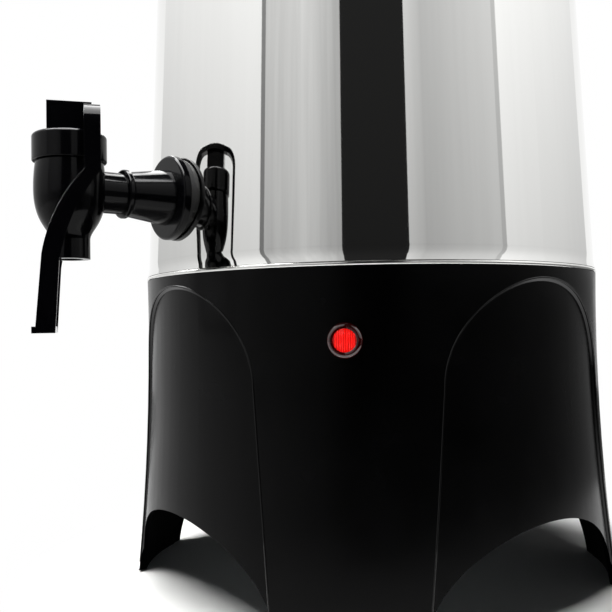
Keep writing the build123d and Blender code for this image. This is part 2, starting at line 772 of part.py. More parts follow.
# Tap: bowl and nozzle on an upright axis, with a pipe back to the shank
tap_axis = Axis((0, -tap_reach, 0), (0, 0, 1))
tap_section = Plane(origin=(0, -tap_reach, 0), x_dir=(1, 0, 0), z_dir=(0, -1, 0))
bowl_foot = nozzle_mouth + nozzle_length
with BuildPart() as tap_body:
    with BuildSketch(tap_section):
        with BuildLine():
            Polyline((0, nozzle_mouth), (nozzle_radius, nozzle_mouth), (nozzle_radius, bowl_foot))
            bowl_low = (bowl_radius, tap_height)
            Bezier(
                (nozzle_radius, bowl_foot),
                (nozzle_radius, bowl_foot + (tap_height - bowl_foot) * bowl_curve_shares[0]),
                (bowl_radius, bowl_foot + (tap_height - bowl_foot) * bowl_curve_shares[1]),
                bowl_low,
            )
            ThreePointArc(
                bowl_low,
                (bowl_radius + (bowl_shoulder_radius - bowl_radius) * bowl_mid_share, (tap_height + cap_under) / 2),
                (bowl_shoulder_radius, cap_under - face_gap),
            )
            neck_top = cap_under + neck_height
            Polyline(
                (bowl_shoulder_radius, cap_under - face_gap),
                (neck_radius, cap_under - face_gap),
                (neck_radius, neck_top),
                (0, neck_top),
                (0, nozzle_mouth),
            )
        make_face()
    revolve(axis=tap_axis)
    with BuildSketch(Plane.XZ.offset(tap_reach)):
        with Locations((0, tap_height)):
            Circle(pipe_radius)
    extrude(amount=-pipe_length)
    with BuildSketch(tap_section):
        Polygon(
            (0, nozzle_mouth),
            (nozzle_bore_radius, nozzle_mouth),
            (nozzle_bore_radius, seat_height),
            (bowl_seat_radius, seat_height),
            (bowl_bore_radius, tap_height),
            (bowl_bore_radius, neck_top),
            (0, neck_top),
            align=None,
        )
    revolve(axis=tap_axis, mode=Mode.SUBTRACT)
    with BuildSketch(Plane.XZ.offset(tap_reach)):
        with Locations((0, tap_height)):
            Circle(pipe_bore_radius)
    extrude(amount=-pipe_length, mode=Mode.SUBTRACT)

with BuildPart() as tap_collar:
    with BuildSketch(Plane.XZ.offset(collar_reach + collar_width)):
        with Locations((0, tap_height)):
            Circle(collar_radius)
            Circle(pipe_radius, mode=Mode.SUBTRACT)
    extrude(amount=-collar_width)
    outer_rims = edges().filter_by(GeomType.CIRCLE).group_by(SortBy.RADIUS)[-1]
    fillet(outer_rims, radius=collar_width / 3)

with BuildPart() as tap_shank:
    with BuildSketch(Plane.XZ.offset(collar_reach)):
        with Locations((0, tap_height)):
            Circle(shank_nose_radius)
    with BuildSketch(Plane.XZ.offset(nut_front)):
        with Locations((0, tap_height)):
            Circle(shank_root_radius)
    loft()
    with BuildSketch(Plane.XZ.offset(nut_front)):
        with Locations((0, tap_height)):
            Circle(shank_tail_radius)
    extrude(amount=-(nut_front - wall_reach) - shank_tail_inside)
    with BuildSketch(Plane.XZ.offset(collar_reach)):
        with Locations((0, tap_height)):
            Circle(pipe_bore_radius)
    extrude(amount=-(collar_reach - wall_reach) - shank_tail_inside, mode=Mode.SUBTRACT)

with BuildPart() as tap_nut:
    with BuildSketch(Plane.XZ.offset(nut_back)):
        with Locations((0, tap_height)):
            Circle(tap_nut_radius)
    extrude(amount=tap_nut_height)
    front_rim = edges().filter_by(GeomType.CIRCLE).sort_by(Axis.Y)[0]
    chamfer(front_rim, length=tap_nut_chamfer)
    with BuildSketch(Plane.XZ.offset(nut_back)):
        with Locations((0, tap_height)):
            Circle(shank_tail_radius)
    extrude(amount=tap_nut_height, mode=Mode.SUBTRACT)

with BuildPart() as tap_gasket:
    with BuildSketch(Plane.XZ.offset(nut_back)):
        with Locations((0, tap_height)):
            Circle(tap_gasket_radius)
            Circle(shank_tail_radius, mode=Mode.SUBTRACT)
    extrude(amount=-tap_gasket_thickness - overrun)
    add(tank_skin, mode=Mode.SUBTRACT)

inner_face = wall_reach - sheet - inner_gasket_thickness
tank_bore = tank_core(sheet + weld_gap)
with BuildPart() as inner_gasket:
    with BuildSketch(Plane.XZ.offset(inner_face)):
        with Locations((0, tap_height)):
            Circle(inner_gasket_radius)
            Circle(shank_tail_radius, mode=Mode.SUBTRACT)
    extrude(amount=inner_gasket_thickness + overrun)
    add(tank_bore, mode=Mode.INTERSECT)

with BuildPart() as inner_nut:
    with BuildSketch(Plane.XZ.offset(inner_face)):
        with Locations((0, tap_height)):
            RegularPolygon(inner_nut_width / 2, 6, major_radius=False)
            Circle(shank_tail_radius, mode=Mode.SUBTRACT)
    extrude(amount=-inner_nut_height)

with BuildPart() as tap_cap:
    with BuildSketch(tap_section):
        Polygon(
            (neck_radius + screw_fit, cap_under),
            (cap_radius, cap_under),
            (cap_radius, cap_top - cap_edge),
            (cap_radius - cap_edge, cap_top),
            (stem_radius + running_fit, cap_top),
            (stem_radius + running_fit, cap_top - cap_roof),
            (neck_radius + screw_fit, cap_top - cap_roof),
            align=None,
        )
    revolve(axis=tap_axis)

# The lever's frame: forward from the tap's axis, to the side, and up, with its origin at the hub's top
lever_forward = around(lever_swing_angle, 1, 0)
lever_side = around(lever_swing_angle + 90, 1, 0)
lever_origin = (0, -tap_reach, hub_top)
lever_frame = Plane(origin=lever_origin, x_dir=lever_forward, z_dir=(0, 0, 1))
side_view = Plane(origin=lever_origin, x_dir=lever_forward, z_dir=around(lever_swing_angle - 90, 1, 0))
front_view = Plane(origin=lever_origin, x_dir=lever_side, z_dir=lever_forward)
pin_plane = Plane(origin=(0, -tap_reach, pin_height), x_dir=lever_forward, z_dir=lever_side)

# Stem with its seat cup and spring
with BuildPart() as tap_stem:
    with BuildSketch(tap_section):
        stem_foot = cup_floor + cup_height - stem_tail
        with Locations((0, stem_foot)):
            Rectangle(stem_radius, pin_height + stem_top_rise - stem_foot, align=Align.MIN)
    revolve(axis=tap_axis)
    with BuildSketch(pin_plane):
        Circle(pin_radius)
    extrude(amount=cap_radius, both=True, mode=Mode.SUBTRACT)

with BuildPart() as seat_cup:
    with BuildSketch(tap_section):
        cup_top = cup_floor + cup_height
        Polygon(
            (cup_radius, cup_floor),
            (cup_radius, cup_floor + cup_height / 2),
            (stem_radius + cup_lip, cup_top),
            (stem_radius, cup_top),
            (stem_radius, stem_foot),
            (0, stem_foot),
            (0, cup_floor + cup_hollow_depth),
            (cup_radius - cup_lip, cup_floor),
            align=None,
        )
    revolve(axis=tap_axis)

with BuildPart() as tap_spring:
    with BuildSketch(tap_section):
        spring_foot = cup_top + face_gap
        with Locations((spring_bore_radius, spring_foot)):
            Rectangle(spring_wall, cap_top - cap_roof - face_gap - spring_foot, align=Align.MIN)
    revolve(axis=tap_axis)

# Lever: a hub on the stem, a loop over the cap, and two arms that sweep forward to a foot bar
def loop_outline(inset):
    """Arch of the lever's loop seen from the front, moved inwards."""
    half, low = arm_outer - inset, -arm_bend_drop
    shoulder, crown = -shoulder_drop - inset, loop_crown - inset
    FilletPolyline(
        (-half, low), (-half, shoulder), (0, crown), (half, shoulder), (half, low),
        radius=(shoulder_corner - inset, crown_corner, shoulder_corner - inset),
    )
    Line((-half, low), (half, low))


def arm_edge(start, end):
    """Arm's edge between its bend and its straight lower part."""
    forward, down = sweep_mid_shares
    middle = (start[0] + forward * (end[0] - start[0]), start[1] + down * (end[1] - start[1]))
    ThreePointArc(start, middle, end)


with BuildPart() as lever:
    with BuildSketch(lever_frame):
        Rectangle(2 * hub_half_width, 2 * hub_half_width)
    extrude(amount=-hub_height)
    with BuildSketch(front_view.offset(-arm_back)):
        with BuildLine():
            loop_outline(0)
        make_face()
        with BuildLine():
            loop_outline(arm_thickness)
        make_face(mode=Mode.SUBTRACT)
    extrude(amount=arm_width)
    for arm_side in (-arm_outer, arm_outer - arm_thickness):
        with BuildSketch(side_view.offset(arm_side)):
            with BuildLine():
                front_bend = (arm_width - arm_back, -arm_bend_drop)
                front_sweep = (arm_sweep_front, -arm_sweep_drop)
                back_bend = (-arm_back, -arm_bend_drop)
                back_sweep = (arm_back_sweep, -arm_back_sweep_drop)
                foot_back = lever_foot_front - lever_foot_width
                arm_edge(front_bend, front_sweep)
                arm_edge(back_bend, back_sweep)
                Line(front_bend, back_bend)
                Polyline(
                    front_sweep,
                    (lever_foot_front, lever_foot_height - lever_foot_drop),
                    (lever_foot_front, -lever_foot_drop),
                    (foot_back, -lever_foot_drop),
                    back_sweep,
                )
            make_face()
        extrude(amount=arm_thickness)
    with BuildSketch(side_view):
        with Locations((foot_back, -lever_foot_drop)):
            Rectangle(lever_foot_width + lever_lip, lever_foot_height, align=Align.MIN)
    extrude(amount=arm_outer, both=True)
    with BuildSketch(lever_frame.offset(-hub_height)):
        with Locations((-hub_slot_back, 0)):
            slot_length = hub_slot_front + hub_slot_back
            Rectangle(slot_length, 2 * (stem_radius + loose_fit), align=(Align.MIN, Align.CENTER))
    extrude(amount=hub_slot_rise, mode=Mode.SUBTRACT)
    pin_tip = hub_half_width - pin_cover
    with BuildSketch(pin_plane.offset(pin_tip)):
        Circle(pin_radius + running_fit)
    extrude(amount=-pin_tip - hub_half_width - overrun, mode=Mode.SUBTRACT)

with BuildPart() as lever_pin:
    with BuildSketch(pin_plane.offset(pin_tip - face_gap)):
        Circle(pin_radius)
    extrude(amount=face_gap - pin_tip - hub_half_width)

with BuildPart() as slip_washer:
    with BuildSketch(Plane(origin=(0, -tap_reach, cap_top + face_gap))):
        Circle(washer_ring_radius)
        Circle(stem_radius + loose_fit, mode=Mode.SUBTRACT)
    extrude(amount=washer_ring_height)

# Percolator: a pump that stands in the well, and a basket with a spreader on its tube
pump_base = well_floor + brew_gap
with BuildPart() as pump_foot:
    with BuildSketch(Plane.XZ):
        bell_inner = pump_foot_radius - 2 * pump_foot_wall
        Polygon(
            (pump_foot_radius, pump_base),
            (pump_foot_radius, pump_base + pump_foot_lip),
            (pump_tube_radius + pump_foot_wall, pump_base + pump_foot_rise),
            (pump_tube_radius, pump_base + pump_foot_rise),
            (pump_tube_radius, pump_base + pump_foot_rise - 3 * pump_foot_wall),
            (bell_inner, pump_base + pump_foot_lip),
            (bell_inner, pump_base),
            align=None,
        )
    revolve(axis=Axis.Z)

with BuildPart() as pump_tube:
    with BuildSketch(Plane.XY.offset(pump_base + pump_tube_lift)):
        Circle(pump_tube_radius)
    extrude(amount=rim_top - pump_tube_top_gap - pump_base - pump_tube_lift)
    with BuildSketch(Plane.XY.offset(basket_floor)):
        Circle(tube_collar_radius)
    extrude(amount=-tube_collar_height)
    with BuildSketch(Plane.XY.offset(pump_base)):
        Circle(pump_tube_radius - pump_tube_wall)
    extrude(amount=rim_top, mode=Mode.SUBTRACT)

with BuildPart() as pump_valve:
    with BuildSketch(Plane.XY.offset(pump_base + valve_rise)):
        Circle(valve_radius)
        Circle(pump_tube_radius, mode=Mode.SUBTRACT)
    extrude(amount=valve_thickness)

sleeve_bore = pump_tube_radius + loose_fit
with BuildPart() as brew_basket:
    with BuildSketch(Plane.XZ):
        Polygon(
            (sleeve_bore, basket_floor),
            (basket_radius, basket_floor),
            (basket_radius, basket_top),
            (basket_radius - sheet, basket_top),
            (basket_radius - sheet, basket_floor + sheet),
            (sleeve_bore + basket_sleeve_wall, basket_floor + sheet),
            (sleeve_bore + basket_sleeve_wall, basket_top - spreader_lip),
            (sleeve_bore, basket_top - spreader_lip),
            align=None,
        )
    revolve(axis=Axis.Z)
    with BuildSketch(Plane.XY.offset(basket_floor)):
        for ring in range(1, basket_hole_rings + 1):
            with PolarLocations(tube_collar_radius + ring * basket_hole_pitch, basket_holes * ring):
                Circle(basket_hole_radius)
    extrude(amount=sheet, mode=Mode.SUBTRACT)

with BuildPart() as basket_cover:
    with BuildSketch(Plane.XZ):
        lip_radius = basket_radius - sheet - loose_fit
        Polygon(
            (sleeve_bore, spreader_seat),
            (lip_radius - sheet, spreader_seat),
            (lip_radius - sheet, spreader_seat - spreader_lip),
            (lip_radius, spreader_seat - spreader_lip),
            (lip_radius, spreader_seat),
            (basket_radius + sheet, spreader_seat),
            (basket_radius + sheet, spreader_seat + sheet),
            (sleeve_bore, spreader_seat + sheet),
            align=None,
        )
    revolve(axis=Axis.Z)
    with BuildSketch(Plane.XY.offset(spreader_seat)):
        for ring in range(1, basket_hole_rings + 1):
            with PolarLocations(tube_collar_radius + ring * basket_hole_pitch, spreader_holes * ring):
                Circle(basket_hole_radius)
    extrude(amount=sheet, mode=Mode.SUBTRACT)

# Lid: a domed sheet with a brim on the tank's rim and a skirt inside it, and a knob
dome_radius = lid_radius - lid_brim
lid_top = lid_seat + lid_rise
with BuildPart() as lid_shell:
    with BuildSketch(Plane.XZ):
        with BuildLine():
            for inset in (0, sheet):
                dome_foot = lid_seat + sheet - inset
                ThreePointArc(
                    (dome_radius, dome_foot),
                    (dome_radius / 2, dome_foot + (lid_top - inset - dome_foot) * dome_mid_share),
                    (0, lid_top - inset),
                )
            Line((0, lid_top), (0, lid_top - sheet))
            Line((dome_radius, lid_seat + sheet), (dome_radius, lid_seat))
        make_face()
        with Locations((dome_radius, lid_seat)):
            Rectangle(lid_brim, sheet, align=Align.MIN)
        skirt_outer = tank_top_radius - sheet - lid_skirt_gap
        with Locations((skirt_outer, lid_seat + sheet)):
            Rectangle(sheet, lid_skirt_depth + sheet, align=Align.MAX)
    revolve(axis=Axis.Z)
    with BuildSketch(Plane.XY.offset(lid_seat)):
        Circle(knob_screw_radius + screw_fit)
    extrude(amount=lid_rise + overrun, mode=Mode.SUBTRACT)

with BuildPart() as lid_knob:
    with BuildSketch(Plane.XZ):
        neck_level = lid_top + knob_height * knob_neck_share
        cap_level = lid_top + knob_height * knob_cap_share
        with BuildLine():
            Polyline((0, lid_top + knob_height), (0, lid_top), (knob_foot_radius, lid_top))
            ThreePointArc(
                (knob_foot_radius, lid_top),
                (knob_neck_radius, neck_level),
                (knob_radius, cap_level),
            )
            Line((knob_radius, cap_level), (knob_radius, lid_top + knob_height - knob_edge))
            Bezier(
                (knob_radius, lid_top + knob_height - knob_edge),
                (knob_radius, lid_top + knob_height),
                (knob_radius / 2, lid_top + knob_height),
                (0, lid_top + knob_height),
            )
        make_face()
    revolve(axis=Axis.Z)
    with BuildSketch(Plane.XY.offset(lid_top)):
        Circle(knob_screw_radius)
    extrude(amount=knob_screw_depth, mode=Mode.SUBTRACT)

with BuildPart() as knob_screw:
    with BuildSketch(Plane.XY.offset(lid_top - sheet - face_gap)):
        Circle(knob_screw_head_radius)
    extrude(amount=-knob_screw_head_height)
    with BuildSketch(Plane.XY.offset(lid_top - sheet - face_gap)):
        Circle(knob_screw_radius)
    extrude(amount=knob_screw_depth)

pieces = {
    "base_housing": base_housing,
    "foot_pads": foot_pads,
    "bottom_cover": bottom_cover,
    "cover_screws": cover_screws,
    "trim_ring": trim_ring,
    "tank_wall": tank_wall,
    "tank_bottom": tank_bottom,
    "heater_ring": heater_ring,
    "heater_clamp": heater_clamp,
    "center_stud": center_stud,
    "stud_nuts": stud_nuts,
    "stud_washer": stud_washer,
    "thermostat": thermostat,
    "thermostat_bracket": thermostat_bracket,
    "thermal_fuse": thermal_fuse,
    "fuse_clip": fuse_clip,
    "terminal_block": terminal_block,
    "inlet_socket": inlet_socket,
    "inlet_pins": inlet_pins,
    "inlet_screws": inlet_screws,
    "indicator_bezel": indicator_bezel,
    "indicator_lens": indicator_lens,
    "indicator_body": indicator_body,
    "indicator_nut": indicator_nut,
    "handle_left": handle_left,
    "handle_right": handle_right,
    "handle_screws": handle_screws,
    "tap_body": tap_body,
    "tap_collar": tap_collar,
    "tap_shank": tap_shank,
    "tap_nut": tap_nut,
    "tap_gasket": tap_gasket,
    "inner_gasket": inner_gasket,
    "inner_nut": inner_nut,
    "tap_cap": tap_cap,
    "tap_stem": tap_stem,
    "seat_cup": seat_cup,
    "tap_spring": tap_spring,
    "lever": lever,
    "lever_pin": lever_pin,
    "slip_washer": slip_washer,
    "pump_foot": pump_foot,
    "pump_tube": pump_tube,
    "pump_valve": pump_valve,
    "brew_basket": brew_basket,
    "basket_cover": basket_cover,
    "lid_shell": lid_shell,
    "lid_knob": lid_knob,
    "knob_screw": knob_screw,
}
os.makedirs("parts", exist_ok=True)
for name, piece in pieces.items():
    piece.part.label = name
    export_step(piece.part, f"parts/{name}.step")
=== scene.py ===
import json
import math

import bmesh
import bpy
from mathutils import Matrix, Vector

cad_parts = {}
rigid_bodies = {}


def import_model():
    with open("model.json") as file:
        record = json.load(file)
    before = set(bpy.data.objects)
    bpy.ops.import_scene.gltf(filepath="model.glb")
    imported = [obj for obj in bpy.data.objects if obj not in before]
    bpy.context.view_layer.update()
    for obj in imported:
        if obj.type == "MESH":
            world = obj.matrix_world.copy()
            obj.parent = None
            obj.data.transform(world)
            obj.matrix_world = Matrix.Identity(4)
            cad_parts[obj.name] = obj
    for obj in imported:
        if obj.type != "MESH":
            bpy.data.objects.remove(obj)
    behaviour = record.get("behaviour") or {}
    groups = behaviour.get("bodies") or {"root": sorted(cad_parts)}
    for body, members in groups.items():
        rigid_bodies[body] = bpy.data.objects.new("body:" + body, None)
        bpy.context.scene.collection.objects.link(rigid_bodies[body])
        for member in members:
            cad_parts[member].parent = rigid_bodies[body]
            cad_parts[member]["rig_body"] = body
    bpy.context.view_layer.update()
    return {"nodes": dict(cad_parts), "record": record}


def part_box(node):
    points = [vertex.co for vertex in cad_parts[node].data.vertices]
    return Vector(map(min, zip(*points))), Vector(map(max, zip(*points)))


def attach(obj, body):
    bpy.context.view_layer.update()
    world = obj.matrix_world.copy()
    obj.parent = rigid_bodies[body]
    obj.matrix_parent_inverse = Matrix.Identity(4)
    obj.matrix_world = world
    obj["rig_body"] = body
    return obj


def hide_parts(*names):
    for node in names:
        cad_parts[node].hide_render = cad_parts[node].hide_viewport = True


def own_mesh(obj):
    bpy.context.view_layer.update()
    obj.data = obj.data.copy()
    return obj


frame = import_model()
scene = bpy.context.scene
nodes = frame["nodes"]
mm = 0.001  # settings are in millimetres unless they say otherwise
print("frame loaded:", len(nodes), "nodes")


def toLinear(colour):
    parts = [int(colour[i:i + 2], 16) / 255 for i in (1, 3, 5)]
    return tuple(p / 12.92 if p < 0.04045 else ((p + 0.055) / 1.055) ** 2.4 for p in parts) + (1.0,)


def addNode(tree, kind, feeds=None, **settings):
    made = tree.nodes.new(kind)
    for key, value in settings.items():
        setattr(made, key, value)
    for socket, value in (feeds or {}).items():
        if isinstance(value, bpy.types.NodeSocket):
            tree.links.new(value, made.inputs[socket])
        else:
            made.inputs[socket].default_value = value
    return made


def newMaterial(name):
    material = bpy.data.materials.new(name)
    material.use_nodes = True
    material.node_tree.nodes.clear()
    return material, material.node_tree


# one surface: a colour that drifts between two shades, a roughness range, and a fine relief
noiseSet = {"detail": 3.0, "roughness": 0.55, "low": 0.3, "high": 0.7, "grainDetail": 2.0}


def surface(name, look):
    material, tree = newMaterial(name)
    where = addNode(tree, "ShaderNodeTexCoord").outputs["Object"]
    drift = addNode(tree, "ShaderNodeMapping", {"Vector": where, "Scale": look.get("stretch", (1, 1, 1))})
    patch = addNode(tree, "ShaderNodeTexNoise", {
        "Vector": drift.outputs["Vector"], "Scale": 1 / (look["patch"] * mm),
        "Detail": noiseSet["detail"], "Roughness": noiseSet["roughness"]})
    tint = addNode(tree, "ShaderNodeMix", {
        0: patch.outputs["Fac"], 6: toLinear(look["shades"][0]), 7: toLinear(look["shades"][1])},
        data_type="RGBA")
    polish = addNode(tree, "ShaderNodeMapRange", {
        "Value": patch.outputs["Fac"], "From Min": noiseSet["low"], "From Max": noiseSet["high"],
        "To Min": look["rough"][0], "To Max": look["rough"][1]})
    grain = addNode(tree, "ShaderNodeMapping", {
        "Vector": where, "Scale": look.get("grainStretch", (1, 1, 1))})
    relief = addNode(tree, "ShaderNodeTexNoise", {
        "Vector": grain.outputs["Vector"], "Scale": 1 / (look["grain"] * mm),
        "Detail": noiseSet["grainDetail"]})
    bump = addNode(tree, "ShaderNodeBump", {
        "Height": relief.outputs["Fac"], "Strength": look["bump"], "Distance": look["depth"] * mm})
    shader = addNode(tree, "ShaderNodeBsdfPrincipled", {
        "Base Color": tint.outputs[2], "Roughness": polish.outputs["Result"],
        "Normal": bump.outputs["Normal"], **look.get("sockets", {})})
    addNode(tree, "ShaderNodeOutputMaterial", {"Surface": shader.outputs["BSDF"]})
    return material


# mirror-polished stainless sheet: crisp reflections with a faint wobble along the rolled bands
mirrorStainless = surface("mirrorStainless", {
    "shades": ("#e4e4e2", "#eeeeec"), "patch": 40, "stretch": (1, 1, 0.12), "rough": (0.015, 0.04),
    "grain": 22, "grainStretch": (1, 1, 0.08), "bump": 0.25, "depth": 0.05,
    "sockets": {"Metallic": 1.0}})
# drawn stainless bead: bright, a touch rougher than the sheet
drawnStainless = surface("drawnStainless", {
    "shades": ("#e2e2df", "#f2f2f0"), "patch": 12, "rough": (0.10, 0.18),
    "grain": 1.2, "grainStretch": (1, 1, 6), "bump": 0.1, "depth": 0.05,
    "sockets": {"Metallic": 1.0}})
# satin stainless inside the tank: soft and greyer
satinStainless = surface("satinStainless", {
    "shades": ("#b9b9b6", "#cfcfcc"), "patch": 9, "rough": (0.24, 0.36),
    "grain": 0.8, "bump": 0.15, "depth": 0.03, "sockets": {"Metallic": 1.0}})
# moulded black phenolic: near black, a satin skin that only lightens at a glancing angle
blackPhenolic = surface("blackPhenolic", {
    "shades": ("#010101", "#030304"), "patch": 26, "rough": (0.20, 0.28),
    "grain": 0.7, "bump": 0.05, "depth": 0.05, "sockets": {"IOR": 1.5}})
# the same moulding gets a painted shade on the faces that look inward (no gloss and a dull skin, so the
# hollow of the base stays black) and a painted highlight along its outer edges (more gloss there):
# from how far a face looks outward, and its gloss
sheenAndShadeSet = {"inside": (0.0, 0.01), "edges": (0.3, 0.45), "outside": (0.955, 0.12)}
insideShadeRoughness = 0.85
tree = blackPhenolic.node_tree
spot = addNode(tree, "ShaderNodeNewGeometry")
flat = addNode(tree, "ShaderNodeVectorMath", {
    0: spot.outputs["Position"], 1: (1, 1, 0)}, operation="MULTIPLY")
radial = addNode(tree, "ShaderNodeVectorMath", {0: flat.outputs["Vector"]}, operation="NORMALIZE")
facing = addNode(tree, "ShaderNodeVectorMath", {
    0: spot.outputs["True Normal"], 1: radial.outputs["Vector"]}, operation="DOT_PRODUCT")
edgeSheenRamp = addNode(tree, "ShaderNodeValToRGB", {"Fac": facing.outputs["Value"]})
edgeSheenRamp.color_ramp.interpolation = "CONSTANT"
edgeSheenRamp.color_ramp.elements.new(sheenAndShadeSet["edges"][0])
for element, (start, amount) in zip(edgeSheenRamp.color_ramp.elements, sheenAndShadeSet.values()):
    element.position, element.color = start, (amount, amount, amount, 1)
# inward faces are made dull: painted shade inside the hollow base
inward = addNode(tree, "ShaderNodeMath", {
    0: facing.outputs["Value"], 1: sheenAndShadeSet["edges"][0]}, operation="LESS_THAN")
insideShade = addNode(tree, "ShaderNodeMath", {0: inward.outputs[0], 1: insideShadeRoughness}, operation="MULTIPLY")
shader = next(n for n in tree.nodes if n.type == "BSDF_PRINCIPLED")
skin = shader.inputs["Roughness"].links[0].from_socket
rough = addNode(tree, "ShaderNodeMath", {0: skin, 1: insideShade.outputs[0]}, operation="MAXIMUM")
tree.links.new(rough.outputs[0], shader.inputs["Roughness"])
# gloss by facing drives the specular level: none inward as painted shade, more on the edges as a painted
# highlight
tree.links.new(edgeSheenRamp.outputs["Color"], shader.inputs["Specular IOR Level"])
# glossy black nylon of the tap: hard white highlights on near black
blackNylon = surface("blackNylon", {
    "shades": ("#010102", "#040405"), "patch": 14, "rough": (0.10, 0.16),
    "grain": 1.6, "bump": 0.04, "depth": 0.05, "sockets": {"IOR": 1.5, "Specular IOR Level": 0.16}})
# polished black nylon of the lever: flat faces stay black and edges draw a bright line
polishedNylon = surface("polishedNylon", {
    "shades": ("#010102", "#040405"), "patch": 14, "rough": (0.06, 0.12),
    "grain": 1.6, "bump": 0.04, "depth": 0.05, "sockets": {"IOR": 1.5, "Specular IOR Level": 0.1}})
# matt rubber: dark grey with a dry bloom
mattRubber = surface("mattRubber", {
    "shades": ("#131313", "#1f1f1f"), "patch": 6, "rough": (0.65, 0.85),
    "grain": 0.5, "bump": 0.25, "depth": 0.05})
# zinc-plated sheet, its grey set darker than plated zinc so that it throws less light onto the floor under
# the base, a painted shade there: cool mid grey with a blotched bloom
zincSheet = surface("zincSheet", {
    "shades": ("#63676a", "#7b7f82"), "patch": 7, "rough": (0.28, 0.42),
    "grain": 1.0, "bump": 0.15, "depth": 0.03, "sockets": {"Metallic": 1.0}})
# plated steel of screws, stud and pin: bright and finely turned
platedSteel = surface("platedSteel", {
    "shades": ("#b4b4b2", "#d2d2d0"), "patch": 3, "rough": (0.18, 0.30),
    "grain": 0.4, "bump": 0.12, "depth": 0.02, "sockets": {"Metallic": 1.0}})
# heater sheath: brownish grey, darkened by heat
burntSheath = surface("burntSheath", {
    "shades": ("#4a443f", "#77706a"), "patch": 8, "rough": (0.35, 0.55),
    "grain": 0.6, "bump": 0.2, "depth": 0.03, "sockets": {"Metallic": 1.0}})
# phenolic of the controls: warm brown, half matt
brownPhenolic = surface("brownPhenolic", {
    "shades": ("#3a2416", "#4d3220"), "patch": 5, "rough": (0.35, 0.5),
    "grain": 0.5, "bump": 0.15, "depth": 0.04})
# brass pins: plain yellow metal, a little dulled
plainBrass = surface("plainBrass", {
    "shades": ("#b08d45", "#c9a75c"), "patch": 3, "rough": (0.2, 0.34),
    "grain": 0.5, "bump": 0.1, "depth": 0.02, "sockets": {"Metallic": 1.0}})
# natural nylon: off-white and waxy
naturalNylon = surface("naturalNylon", {
    "shades": ("#d8d4c6", "#e8e5da"), "patch": 5, "rough": (0.4, 0.5),
    "grain": 0.6, "bump": 0.08, "depth": 0.03, "sockets": {"Subsurface Weight": 0.1}})
# spun aluminium of the percolator: fine turning lines round its axis
spunAluminium = surface("spunAluminium", {
    "shades": ("#c3c4c6", "#d9dadb"), "patch": 10, "rough": (0.26, 0.38), "grain": 0.5,
    "grainStretch": (0.2, 0.2, 3), "bump": 0.2, "depth": 0.03, "sockets": {"Metallic": 1.0}})
# smoky polycarbonate ring of the lamp: dark red, with a hard polished face
smokyPolycarbonate = surface("smokyPolycarbonate", {
    "shades": ("#1a0405", "#240707"), "patch": 4, "rough": (0.03, 0.06),
    "grain": 2.0, "bump": 0.02, "depth": 0.02,
    "sockets": {"IOR": 1.6, "Specular IOR Level": 1.0,
                "Emission Color": toLinear("#ff1010"), "Emission Strength": 0.012}})
# red polycarbonate ribs: bright, lit from behind
redPolycarbonate = surface("redPolycarbonate", {
    "shades": ("#f01208", "#ff2a1c"), "patch": 0.9, "rough": (0.15, 0.25),
    "grain": 0.8, "bump": 0.05, "depth": 0.02,
    "sockets": {"IOR": 1.58, "Emission Color": toLinear("#ff1009"), "Emission Strength": 0.8}})
# deeper red behind the ribs: the dark lines between them
deepPolycarbonate = surface("deepPolycarbonate", {
    "shades": ("#6a0403", "#880604"), "patch": 0.9, "rough": (0.2, 0.3),
    "grain": 0.8, "bump": 0.05, "depth": 0.02,
    "sockets": {"IOR": 1.58, "Emission Color": toLinear("#ff0a04"), "Emission Strength": 0.32}})
# clear window over the ribs: a bare gloss
clearPolycarbonate = surface("clearPolycarbonate", {
    "shades": ("#fff4f2", "#ffffff"), "patch": 6, "rough": (0.01, 0.03),
    "grain": 3.0, "bump": 0.01, "depth": 0.01,
    "sockets": {"IOR": 1.58, "Transmission Weight": 1.0}})
print("materials made:", len(bpy.data.materials))

finishOf = {
    "mirror_steel": mirrorStainless, "trim_steel": drawnStainless, "inner_steel": satinStainless,
    "base_black": blackPhenolic, "handle_black": blackPhenolic, "tap_black": blackNylon,
    "lever_black": polishedNylon, "rubber_black": mattRubber, "plate_steel": zincSheet,
    "fixing_steel": platedSteel, "heater_sheath": burntSheath, "control_plastic": brownPhenolic,
    "inlet_black": blackPhenolic, "contact_brass": plainBrass, "lamp_bezel": smokyPolycarbonate,
    "lamp_lens": redPolycarbonate, "nylon_white": naturalNylon, "brew_aluminium": spunAluminium}
slotOf = {s["node"]: s["material_slot"] for s in frame["record"]["subparts"]}
for name, node in nodes.items():
    node.data.materials.clear()
    node.data.materials.append(finishOf[slotOf[name]])


def newObject(name, mesh):
    made = bpy.data.objects.new(name, mesh)
    scene.collection.objects.link(made)
    return made


def meshFrom(form, name):
    mesh = bpy.data.meshes.new(name)
    form.to_mesh(mesh)
    form.free()
    return mesh


def smooth(piece):
    for face in piece.data.polygons:
        face.use_smooth = True


def settle(piece, node):
    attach(piece, nodes[node]["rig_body"])
    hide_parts(node)


def bake(piece):
    bpy.context.view_layer.update()
    solid = bpy.data.meshes.new_from_object(piece.evaluated_get(bpy.context.evaluated_depsgraph_get()))
    piece.modifiers.clear()
    piece.data = solid


# a CAD node's mesh with the seams between its faces closed
seamGap = 0.002


def weldedForm(node):
    form = bmesh.new()
    form.from_mesh(nodes[node].data)
    bmesh.ops.remove_doubles(form, verts=form.verts, dist=seamGap * mm)
    return form


